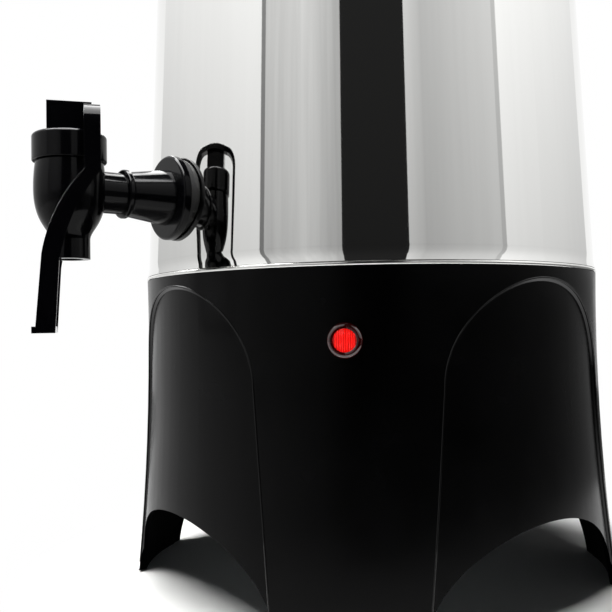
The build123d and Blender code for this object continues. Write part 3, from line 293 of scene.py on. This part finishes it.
# moulded pieces with their edges rounded as a mould leaves them: width, segments and least angle in degrees
roundedEdges = {
    "base_housing": (0.5, 3, 16), "lever": (0.7, 3, 34), "tap_body": (0.4, 2, 34), "tap_cap": (0.45, 3, 34),
    "tap_nut": (0.35, 3, 34), "tap_shank": (0.3, 2, 34), "inlet_socket": (0.4, 2, 34),
    "foot_pads": (0.2, 2, 34), "lid_shell": (0.2, 2, 34)}
flatAngle = math.radians(0.4)
for node, (width, segments, least) in roundedEdges.items():
    form = weldedForm(node)
    bmesh.ops.dissolve_limit(form, angle_limit=flatAngle, verts=form.verts, edges=form.edges)
    piece = newObject("rounded_" + node, meshFrom(form, "rounded_" + node))
    smooth(piece)
    bevel = piece.modifiers.new("edge", "BEVEL")
    bevel.width, bevel.segments = width * mm, segments
    bevel.limit_method, bevel.angle_limit = "ANGLE", math.radians(least)
    bevel.miter_outer = "MITER_ARC"
    piece.modifiers.new("flats", "WEIGHTED_NORMAL")
    bake(piece)
    piece.data.materials.clear()
    piece.data.materials.append(finishOf[slotOf[node]])
    settle(piece, node)
print("edges rounded:", len(roundedEdges))


# a node group with named inputs, and a piece grown from it
def newTree(name, inputs):
    tree = bpy.data.node_groups.new(name, "GeometryNodeTree")
    for label, kind in inputs.items():
        tree.interface.new_socket(name=label, in_out="INPUT", socket_type="NodeSocket" + kind)
    tree.interface.new_socket(name="Geometry", in_out="OUTPUT", socket_type="NodeSocketGeometry")
    return tree, addNode(tree, "NodeGroupInput").outputs


def closeTree(tree, shape, material):
    solid = addNode(tree, "GeometryNodeRealizeInstances", {"Geometry": shape})
    painted = addNode(tree, "GeometryNodeSetMaterial", {
        "Geometry": solid.outputs["Geometry"], "Material": material})
    addNode(tree, "NodeGroupOutput", {"Geometry": painted.outputs["Geometry"]})


def grow(name, tree, values, start=None):
    piece = newObject(name, start or bpy.data.meshes.new(name))
    grower = piece.modifiers.new("grow", "NODES")
    grower.node_group = tree
    for item in tree.interface.items_tree:
        if item.in_out == "INPUT" and item.name in values:
            grower[item.identifier] = values[item.name]
    bake(piece)
    return piece


# rolled bead along the rim of each arched panel of the base; a rim lies between a steep face and the skin
panelSet = {"radius": 0.42, "sunk": 0.15, "sides": 8, "wall": (0.2, 0.9), "skin": 0.965, "below": 2.5,
            "weld": 0.01}


def outwardness(face):
    middle = face.calc_center_median()
    return face.normal.dot(Vector((middle.x, middle.y, 0)).normalized())


form = weldedForm("base_housing")
roof = max(v.co.z for v in form.verts) - panelSet["below"] * mm
rims = []
for edge in form.edges:
    if len(edge.link_faces) == 2 and max(v.co.z for v in edge.verts) < roof:
        steep, flat = sorted(outwardness(face) for face in edge.link_faces)
        if panelSet["wall"][0] < steep < panelSet["wall"][1] and flat > panelSet["skin"] and edge.is_convex:
            rims.append([v.co.copy() for v in edge.verts])
form.free()
path = [end - Vector((end.x, end.y, 0)).normalized() * panelSet["sunk"] * mm for rim in rims for end in rim]
rimMesh = bpy.data.meshes.new("panelRims")
rimMesh.from_pydata(path, [(i, i + 1) for i in range(0, len(path), 2)], [])
tree, given = newTree("panelBeads", {
    "Path": "Geometry", "Radius": "Float", "Sides": "Int", "Material": "Material"})
joined = addNode(tree, "GeometryNodeMergeByDistance", {
    "Geometry": given["Path"], "Distance": panelSet["weld"] * mm})
track = addNode(tree, "GeometryNodeMeshToCurve", {"Mesh": joined.outputs["Geometry"]})
ring = addNode(tree, "GeometryNodeCurvePrimitiveCircle", {
    "Resolution": given["Sides"], "Radius": given["Radius"]})
tube = addNode(tree, "GeometryNodeCurveToMesh", {
    "Curve": track.outputs["Curve"], "Profile Curve": ring.outputs["Curve"], "Fill Caps": True})
closeTree(tree, tube.outputs["Mesh"], given["Material"])
beads = grow("panelBeads", tree, {
    "Radius": panelSet["radius"] * mm, "Sides": panelSet["sides"], "Material": blackPhenolic}, rimMesh)
smooth(beads)
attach(beads, "urn")
print("panel rims beaded:", len(rims), "edges")

# lamp core: upright ribs in front of a deep red disc, under a clear window
lensSet = {"ribs": 9, "radius": 4.0, "ribRadius": 0.27, "ribSides": 12, "ribDepth": 0.45, "discDepth": 0.3,
           "windowRadius": 4.05, "windowBack": 0.85, "windowFront": 1.1, "edge": 0.1, "edgeSteps": 4,
           "angle": 45, "proud": 1.1}
tree, given = newTree("lampRibs", {
    "Ribs": "Int", "Radius": "Float", "Rib Radius": "Float", "Depth": "Float", "Material": "Material"})
gaps = addNode(tree, "ShaderNodeMath", {0: given["Ribs"], 1: 1.0}, operation="ADD")
half = addNode(tree, "ShaderNodeMath", {0: given["Radius"], 1: gaps.outputs[0]}, operation="DIVIDE")
step = addNode(tree, "ShaderNodeMath", {0: half.outputs[0], 1: 2.0}, operation="MULTIPLY")
first = addNode(tree, "ShaderNodeMath", {0: step.outputs[0], 1: given["Radius"]}, operation="SUBTRACT")
start = addNode(tree, "ShaderNodeCombineXYZ", {"X": first.outputs[0], "Z": given["Depth"]})
stride = addNode(tree, "ShaderNodeCombineXYZ", {"X": step.outputs[0]})
row = addNode(tree, "GeometryNodeMeshLine", {
    "Count": given["Ribs"], "Start Location": start.outputs[0], "Offset": stride.outputs[0]})
# each rib is as long as the round lens is at its place
across = addNode(tree, "ShaderNodeSeparateXYZ", {0: addNode(tree, "GeometryNodeInputPosition").outputs[0]})
squareX = addNode(tree, "ShaderNodeMath", {
    0: across.outputs["X"], 1: across.outputs["X"]}, operation="MULTIPLY")
squareR = addNode(tree, "ShaderNodeMath", {0: given["Radius"], 1: given["Radius"]}, operation="MULTIPLY")
rest = addNode(tree, "ShaderNodeMath", {0: squareR.outputs[0], 1: squareX.outputs[0]}, operation="SUBTRACT")
chord = addNode(tree, "ShaderNodeMath", {0: rest.outputs[0]}, operation="SQRT")
size = addNode(tree, "ShaderNodeCombineXYZ", {"X": 1.0, "Y": 1.0, "Z": chord.outputs[0]})
rib = addNode(tree, "GeometryNodeMeshCylinder", {
    "Vertices": lensSet["ribSides"], "Radius": given["Rib Radius"], "Depth": 2.0})
stood = addNode(tree, "GeometryNodeInstanceOnPoints", {
    "Points": row.outputs["Mesh"], "Instance": rib.outputs["Mesh"], "Rotation": (math.pi / 2, 0, 0),
    "Scale": size.outputs[0]})
closeTree(tree, stood.outputs["Instances"], given["Material"])
ribs = grow("lampRibs", tree, {
    "Ribs": lensSet["ribs"], "Radius": lensSet["radius"] * mm, "Rib Radius": lensSet["ribRadius"] * mm,
    "Depth": lensSet["ribDepth"] * mm, "Material": redPolycarbonate})
smooth(ribs)
lensLow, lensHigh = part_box("indicator_lens")
turned = math.radians(lensSet["angle"])
sideways = Vector((math.cos(turned), math.sin(turned), 0))
outward = Vector((math.sin(turned), -math.cos(turned), 0))
lampPlace = Matrix((sideways, Vector((0, 0, 1)), outward)).transposed().to_4x4()
lampPlace.translation = (lensLow + lensHigh) / 2 - outward * lensSet["proud"] * mm / 2

# a turned piece: a line of radii and heights spun round the local Z axis
turnSet = {"steps": 48, "sharp": 32, "weld": 1e-4}


def turnedPiece(name, line, material, steps=turnSet["steps"]):
    form = bmesh.new()
    dots = [form.verts.new((r * mm, 0, z * mm)) for r, z in line]
    spun = [form.edges.new(pair) for pair in zip(dots, dots[1:])]
    bmesh.ops.spin(form, geom=dots + spun, axis=(0, 0, 1), cent=(0, 0, 0), steps=steps, angle=math.tau)
    bmesh.ops.remove_doubles(form, verts=form.verts, dist=turnSet["weld"] * mm)
    bmesh.ops.recalc_face_normals(form, faces=form.faces)
    piece = newObject(name, meshFrom(form, name))
    smooth(piece)
    piece.data.set_sharp_from_angle(angle=math.radians(turnSet["sharp"]))
    piece.data.materials.append(material)
    return piece


def quarter(radius, level, wide, high, steps):
    turns = [math.pi / 2 * i / steps for i in range(steps + 1)]
    return [(radius + wide * math.cos(a), level + high * math.sin(a)) for a in turns]


def disc(name, back, front, material):
    radius, edge = lensSet["windowRadius"], lensSet["edge"]
    rim = quarter(radius - edge, front - edge, edge, edge, lensSet["edgeSteps"])
    return turnedPiece(name, [(0, back), (radius, back)] + rim + [(0, front)], material)


backing = disc("lampBacking", 0, lensSet["discDepth"], deepPolycarbonate)
window = disc("lampWindow", lensSet["windowBack"], lensSet["windowFront"], clearPolycarbonate)
bezelSet = {"inner": 4.12, "outer": 6.15, "crest": 4.75, "lip": 1.15, "proud": 1.3, "foot": 0.15, "steps": 8}
dome = quarter(bezelSet["crest"], bezelSet["foot"], bezelSet["outer"] - bezelSet["crest"],
               bezelSet["proud"] - bezelSet["foot"], bezelSet["steps"])
bezel = turnedPiece("lampBezel", [(bezelSet["inner"], 0), (bezelSet["outer"], 0)] + dome
                    + [(bezelSet["inner"], bezelSet["lip"]), (bezelSet["inner"], 0)], smokyPolycarbonate)
for piece in (ribs, backing, window, bezel):
    piece.data.transform(lampPlace)
settle(bezel, "indicator_bezel")
for piece in (ribs, backing, window):
    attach(piece, "urn")
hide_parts("indicator_lens")
print("lamp core made:", lensSet["ribs"], "ribs")

# bright bead at the seam, spun fine so that its highlight runs unbroken
beadSet = {"inner": 98.4, "bulge": 0.85, "steps": 240, "turns": 10}
low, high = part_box("trim_ring")
beadLow, beadHigh, beadOuter = low.z / mm, high.z / mm, high.x / mm
beadMiddle = (beadLow + beadHigh) / 2
bulge = [(beadOuter - beadSet["bulge"] * (1 - math.cos(a)),
          beadMiddle + (beadHigh - beadMiddle) * math.sin(a))
         for a in (math.pi * (i / beadSet["turns"] - 0.5) for i in range(beadSet["turns"] + 1))]
bead = turnedPiece(
    "seamBead", [(beadSet["inner"], beadLow)] + bulge
    + [(beadSet["inner"], beadHigh), (beadSet["inner"], beadLow)], drawnStainless, beadSet["steps"])
settle(bead, "trim_ring")
print("bead spun")

# screw heads with a cross recess: head radius and height, shank radius and length, slot reach, half width
# and depth; four stand on a circle round the axis, or two stand apart
screwSet = {
    "cover_screws": {"head": 3.4, "high": 2.2, "shank": 1.7, "long": 12.8, "slot": (2.0, 0.42, 1.2),
                     "round": 91, "turn": 22.5},
    "inlet_screws": {"head": 2.8, "high": 1.6, "shank": 1.5, "long": 7.6, "slot": (1.7, 0.36, 0.9),
                     "apart": 37}}
headSet = {"sides": 40, "steps": 5, "crown": 0.7, "flat": 0.85, "taper": 0.8, "sharp": 35, "seed": 7}


def screwMesh(name, s):
    form = bmesh.new()
    sides, steps = headSet["sides"], headSet["steps"]
    around = [(math.cos(math.tau * i / sides), math.sin(math.tau * i / sides)) for i in range(sides)]
    crown = [(s["head"] * math.cos(a), s["high"] - (1 - math.sin(a)) * s["high"] * headSet["crown"])
             for a in (math.pi / 2 * i / steps * headSet["flat"] for i in range(steps + 1))]
    rings = [[form.verts.new((r * c * mm, r * k * mm, z * mm)) for c, k in around]
             for r, z in [(s["shank"], -s["long"]), (s["shank"], 0), (s["head"], 0)] + crown]
    form.faces.new(list(reversed(rings[0])))
    for under, over in zip(rings, rings[1:]):
        for i in range(sides):
            after = (i + 1) % sides
            form.faces.new((under[i], under[after], over[after], over[i]))
    reach, half, deep = s["slot"]
    cross = []
    for i in range(4):
        c, k = math.cos(math.pi / 2 * i), math.sin(math.pi / 2 * i)
        cross += [(x * c - y * k, x * k + y * c) for x, y in ((half, -half), (reach, -half), (reach, half))]
    top, taper = crown[-1][1], headSet["taper"]
    lip = [form.verts.new((x * mm, y * mm, top * mm)) for x, y in cross]
    pit = [form.verts.new((x * taper * mm, y * taper * mm, (top - deep) * mm)) for x, y in cross]
    corners = len(cross)
    for i in range(corners):
        after = (i + 1) % corners
        form.faces.new((lip[after], lip[i], pit[i], pit[after]))
    form.faces.new(pit)
    lipEdges = [form.edges.get((lip[i], lip[(i + 1) % corners])) for i in range(corners)]
    rimEdges = [form.edges.get((rings[-1][i], rings[-1][(i + 1) % sides])) for i in range(sides)]
    bmesh.ops.triangle_fill(form, edges=lipEdges + rimEdges, use_beauty=True)
    bmesh.ops.recalc_face_normals(form, faces=form.faces)
    return meshFrom(form, name)


tree, given = newTree("screwRow", {
    "Points": "Geometry", "Screw": "Object", "Spread": "Float", "Seed": "Int", "Material": "Material"})
pattern = addNode(tree, "GeometryNodeObjectInfo", {"Object": given["Screw"]})
twist = addNode(tree, "FunctionNodeRandomValue", {"Seed": given["Seed"]}, data_type="FLOAT")
angle = addNode(tree, "ShaderNodeMath", {0: twist.outputs[1], 1: given["Spread"]}, operation="MULTIPLY")
lean = addNode(tree, "ShaderNodeCombineXYZ", {"Z": angle.outputs[0]})
driven = addNode(tree, "GeometryNodeInstanceOnPoints", {
    "Points": given["Points"], "Instance": pattern.outputs["Geometry"], "Rotation": lean.outputs[0]})
closeTree(tree, driven.outputs["Instances"], given["Material"])
for node, s in screwSet.items():
    low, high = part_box(node)
    model = newObject(node + "Model", screwMesh(node + "Model", s))
    if "round" in s:
        turns = [math.radians(s["turn"] + 90 * i) for i in range(4)]
        spots = [(s["round"] * math.cos(a), s["round"] * math.sin(a)) for a in turns]
        seat, over = Vector((0, 0, low.z + s["high"] * mm)), math.pi
    else:
        spots = [(-s["apart"] / 2, 0), (s["apart"] / 2, 0)]
        seat, over = Vector((0, high.y - s["high"] * mm, (low.z + high.z) / 2)), -math.pi / 2
    points = bpy.data.meshes.new(node + "Heads")
    points.from_pydata([(x * mm, y * mm, 0) for x, y in spots], [], [])
    heads = grow(node + "Heads", tree, {
        "Screw": model, "Spread": math.pi / 2, "Seed": headSet["seed"], "Material": platedSteel}, points)
    heads.data.transform(Matrix.Translation(seat) @ Matrix.Rotation(over, 4, "X"))
    heads.data.set_sharp_from_angle(angle=math.radians(headSet["sharp"]))
    settle(heads, node)
    bpy.data.objects.remove(model)
print("screws made:", len(screwSet))

# return spring round the stem: a wound wire, which shortens as the stem rises on the real tap; here it keeps
# the one length of its place
springSet = {"turns": 7, "radius": 3.85, "wire": 0.5, "steps": 40, "sides": 10, "keep": 0.9}
low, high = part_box("tap_spring")
middle = (low + high) / 2
tree, given = newTree("returnSpring", {
    "Turns": "Float", "Radius": "Float", "Wire": "Float", "Height": "Float", "Material": "Material"})
coil = addNode(tree, "GeometryNodeCurveSpiral", {
    "Resolution": springSet["steps"], "Rotations": given["Turns"], "Start Radius": given["Radius"],
    "End Radius": given["Radius"], "Height": given["Height"]})
ring = addNode(tree, "GeometryNodeCurvePrimitiveCircle", {
    "Resolution": springSet["sides"], "Radius": given["Wire"]})
wire = addNode(tree, "GeometryNodeCurveToMesh", {
    "Curve": coil.outputs["Curve"], "Profile Curve": ring.outputs["Curve"], "Fill Caps": True})
closeTree(tree, wire.outputs["Mesh"], given["Material"])
spring = grow("returnSpring", tree, {
    "Turns": float(springSet["turns"]), "Radius": springSet["radius"] * mm, "Wire": springSet["wire"] * mm,
    "Height": high.z - low.z - 2 * springSet["wire"] * mm, "Material": platedSteel})
spring.data.transform(Matrix.Translation((middle.x, middle.y, low.z + springSet["wire"] * mm)))
smooth(spring)
settle(spring, "tap_spring")
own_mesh(spring)
print("spring wound:", springSet["turns"], "turns")

# camera at the height of the base, close in front of the lamp; angles in radians but for the side's degrees
cameraSet = {"distance": 370, "height": 109.5, "side": 49.5, "yaw": -0.07706, "pitch": 0.02384,
             "roll": -0.01594, "lens": 46.69, "sensor": 36, "clip": 10}
yaw, pitch, roll = cameraSet["yaw"], cameraSet["pitch"], cameraSet["roll"]
ahead = Vector((math.sin(yaw) * math.cos(pitch), math.cos(yaw) * math.cos(pitch), math.sin(pitch)))
level = Vector((math.cos(yaw), -math.sin(yaw), 0))
rise = level.cross(ahead)
right = level * math.cos(roll) + rise * math.sin(roll)
up = rise * math.cos(roll) - level * math.sin(roll)
pose = Matrix((right, up, -ahead)).transposed().to_4x4()
pose.translation = Vector((0, -cameraSet["distance"], cameraSet["height"])) * mm
lens = bpy.data.cameras.new("camera")
lens.lens, lens.sensor_width, lens.clip_start = cameraSet["lens"], cameraSet["sensor"], cameraSet["clip"] * mm
camera = bpy.data.objects.new("camera", lens)
scene.collection.objects.link(camera)
camera.matrix_world = Matrix.Rotation(math.radians(cameraSet["side"]), 4, "Z") @ pose
scene.camera = camera

# studio, in metres: soft cards round the urn, as angles from the camera's side, the shade at both ends and
# how streaked. The steel sees the upper ring, and the base sees the lower ring and the flags on the table.
upperSet = {
    "leftSide": (-129, -50, 0.80, 0.94, 0.06), "leftJoin": (-50, -47.8, 0.24, 0.24, 0),
    "leftFront": (-47.8, -27, 0.58, 0.70, 0.4), "leftInner": (-27, -10.7, 0.68, 0.46, 0.4),
    "cameraFlag": (-10.7, 19.3, 0.016, 0.016, 0), "rightInner": (19.3, 27, 0.68, 0.54, 0.1),
    "rightFront": (27, 64.5, 0.52, 0.70, 0.1), "rightJoin": (64.5, 67, 0.56, 0.56, 0),
    "rightSide": (67, 134, 1.04, 0.84, 0.05)}
lowerSet = {
    "leftLow": (-145, -57, 0.85, 0.50, 0), "leftInnerLow": (-57, -10.7, 0.45, 0.08, 0),
    "cameraLow": (-10.7, 45, 0.0, 0.0, 0), "rightLow": (45, 145, 0.03, 0.30, 0)}
tableSet = {
    "leftTable": (-145, -57, 0.85, 0.80, 0), "leftInnerTable": (-57, -10.7, 0.75, 0.08, 0),
    "cameraTable": (-10.7, 45, 0.0, 0.0, 0), "rightTable": (45, 145, 0.06, 0.26, 0)}
backSet = {"backTable": (135, 225, 0.0, 0.0, 0)}
roofSet = {"roofFlag": (-100, 100, 0.02, 0.02, 0)}
ringSet = {"reach": 1.1, "foot": -0.02, "join": 0.2, "top": 1.5, "tableNear": 0.3, "backNear": 0.12,
           "tableLevel": 0.0006, "roofNear": 0.16, "roof": 1.5, "steps": 24}
# the cloth gets lighter with height, by so much a metre from the middle height, and hangs in faint folds
clothSet = {"rise": 0.8, "mid": 0.545, "streak": 0.06, "hang": 0.12, "detail": 3.0}
cloth, tree = newMaterial("softCloth")
where = addNode(tree, "ShaderNodeTexCoord").outputs["Object"]
height = addNode(tree, "ShaderNodeSeparateXYZ", {0: where})
lift = addNode(tree, "ShaderNodeMath", {
    0: height.outputs["Z"], 1: clothSet["rise"], 2: 1 - clothSet["rise"] * clothSet["mid"]},
    operation="MULTIPLY_ADD")
hang = addNode(tree, "ShaderNodeMapping", {"Vector": where, "Scale": (1, 1, clothSet["hang"])})
fold = addNode(tree, "ShaderNodeTexNoise", {
    "Vector": hang.outputs["Vector"], "Scale": 1 / clothSet["streak"], "Detail": clothSet["detail"]})
centred = addNode(tree, "ShaderNodeMath", {0: fold.outputs["Fac"], 1: 0.5}, operation="SUBTRACT")
streaked = addNode(tree, "ShaderNodeAttribute", attribute_name="streak")
ripple = addNode(tree, "ShaderNodeMath", {
    0: centred.outputs[0], 1: streaked.outputs["Fac"], 2: 1.0}, operation="MULTIPLY_ADD")
shaded = addNode(tree, "ShaderNodeAttribute", attribute_name="shade")
folded = addNode(tree, "ShaderNodeMath", {
    0: shaded.outputs["Fac"], 1: ripple.outputs[0]}, operation="MULTIPLY")
lifted = addNode(tree, "ShaderNodeMath", {0: folded.outputs[0], 1: lift.outputs[0]}, operation="MULTIPLY")
glow = addNode(tree, "ShaderNodeEmission", {"Color": (1, 1, 1, 1), "Strength": lifted.outputs[0]})
addNode(tree, "ShaderNodeOutputMaterial", {"Surface": glow.outputs["Emission"]})
plain, tree = newMaterial("plainCloth")
shaded = addNode(tree, "ShaderNodeAttribute", attribute_name="shade")
glow = addNode(tree, "ShaderNodeEmission", {"Color": (1, 1, 1, 1), "Strength": shaded.outputs["Fac"]})
addNode(tree, "ShaderNodeOutputMaterial", {"Surface": glow.outputs["Emission"]})


def card(name, setting, near, far, material):
    start, end, first, last, streak = setting
    places, shades = [], []
    for step in range(ringSet["steps"] + 1):
        share = step / ringSet["steps"]
        angle = math.radians(cameraSet["side"] + start + (end - start) * share)
        places += [(r * math.sin(angle), -r * math.cos(angle), z) for r, z in (near, far)]
        shades += [first + (last - first) * share] * 2
    faces = [(2 * i, 2 * i + 2, 2 * i + 3, 2 * i + 1) for i in range(ringSet["steps"])]
    mesh = bpy.data.meshes.new(name)
    mesh.from_pydata(places, [], faces)
    mesh.attributes.new("shade", "FLOAT", "POINT").data.foreach_set("value", shades)
    mesh.attributes.new("streak", "FLOAT", "POINT").data.foreach_set("value", [streak] * len(shades))
    mesh.materials.append(material)
    made = newObject(name, mesh)
    made.visible_camera = made.visible_diffuse = made.visible_shadow = False


reach, table, roof = ringSet["reach"], ringSet["tableLevel"], ringSet["roof"]
for cards, near, far, material in (
        (upperSet, (reach, ringSet["join"]), (reach, ringSet["top"]), cloth),
        (lowerSet, (reach, ringSet["foot"]), (reach, ringSet["join"]), plain),
        (tableSet, (ringSet["tableNear"], table), (reach, table), plain),
        (backSet, (ringSet["backNear"], table), (reach, table), plain),
        (roofSet, (ringSet["roofNear"], roof), (reach, roof), plain)):
    for name, setting in cards.items():
        card(name, setting, near, far, material)


# one for rays that show a surface, zero for rays that only take light from it
def seenRays(tree):
    rays = addNode(tree, "ShaderNodeLightPath").outputs
    seen = rays["Is Camera Ray"]
    for kind in ("Is Glossy Ray", "Is Transmission Ray"):
        seen = addNode(tree, "ShaderNodeMath", {0: seen, 1: rays[kind]}, operation="MAXIMUM").outputs[0]
    return seen


# floor: pale, keeps the shadow under the urn and goes to plain white away from it
floorSet = {"half": 8.0, "shade": "#f4f4f2", "near": 0.112, "far": 0.16}
form = bmesh.new()
bmesh.ops.create_grid(form, x_segments=1, y_segments=1, size=floorSet["half"])
floor = newObject("floor", meshFrom(form, "floor"))
paper, tree = newMaterial("floorPaper")
where = addNode(tree, "ShaderNodeTexCoord").outputs["Object"]
apart = addNode(tree, "ShaderNodeVectorMath", {0: where}, operation="LENGTH")
away = addNode(tree, "ShaderNodeMapRange", {
    "Value": apart.outputs["Value"], "From Min": floorSet["near"], "From Max": floorSet["far"]},
    interpolation_type="SMOOTHSTEP")
whiten = addNode(tree, "ShaderNodeMath", {
    0: away.outputs["Result"], 1: seenRays(tree)}, operation="MULTIPLY")
matt = addNode(tree, "ShaderNodeBsdfDiffuse", {"Color": toLinear(floorSet["shade"])})
glow = addNode(tree, "ShaderNodeEmission", {"Strength": 1.0})
pick = addNode(tree, "ShaderNodeMixShader", {
    0: whiten.outputs[0], 1: matt.outputs["BSDF"], 2: glow.outputs["Emission"]})
addNode(tree, "ShaderNodeOutputMaterial", {"Surface": pick.outputs["Shader"]})
floor.data.materials.append(paper)

# white surround for what is seen, a low level for what lights
worldSet = {"lights": 0.03, "shows": 1.0}
scene.world = bpy.data.worlds.new("surround")
scene.world.use_nodes = True
tree = scene.world.node_tree
tree.nodes.clear()
power = addNode(tree, "ShaderNodeMapRange", {
    "Value": seenRays(tree), "To Min": worldSet["lights"], "To Max": worldSet["shows"]})
sky = addNode(tree, "ShaderNodeBackground", {"Color": (1, 1, 1, 1), "Strength": power.outputs["Result"]})
addNode(tree, "ShaderNodeOutputWorld", {"Surface": sky.outputs["Background"]})

# softboxes, in metres and watts: one high on the left and one over the lid light the urn, one in front lights
# the floor alone, one over the tap and a strip light the tap
lampSet = {
    "left": {"place": (-0.62, 0.0, 1.0), "size": 0.8, "power": 24, "lights": "room"},
    "overhead": {"place": (-0.1, 0.1, 1.3), "size": 0.25, "power": 8, "lights": "room"},
    "front": {"place": (-0.02, -0.36, 1.0), "size": 0.75, "power": 21, "lights": "floor"},
    "tapTop": {"place": (0.0, -0.14, 1.2), "size": 1.2, "power": 70, "lights": "tap"},
    "leverStrip": {"place": (-0.59, -0.63, 0.8), "size": 0.6, "power": 60, "lights": "lever"}}
lampAim = Vector((0, 0, 0.15))
tapNodes = ("tap_body", "tap_cap", "tap_shank", "tap_collar", "tap_nut", "tap_gasket", "lever")
litBy = {name: bpy.data.collections.new(name + "Lit") for name in ("room", "floor", "tap", "lever")}
for piece in [o for o in scene.objects if o.type == "MESH"]:
    node = piece.name.removeprefix("rounded_")
    litBy["floor" if piece == floor else "tap" if node in tapNodes else "room"].objects.link(piece)
    if node == "lever":
        litBy["lever"].objects.link(piece)
for name, s in lampSet.items():
    light = bpy.data.lights.new(name, "AREA")
    light.size, light.energy = s["size"], s["power"]
    lamp = bpy.data.objects.new(name, light)
    scene.collection.objects.link(lamp)
    lamp.location = s["place"]
    lamp.rotation_euler = (lampAim - Vector(s["place"])).to_track_quat("-Z", "Y").to_euler()
    lamp.light_linking.receiver_collection = litBy[s["lights"]]
scene.view_settings.view_transform = "Standard"
print("studio set")
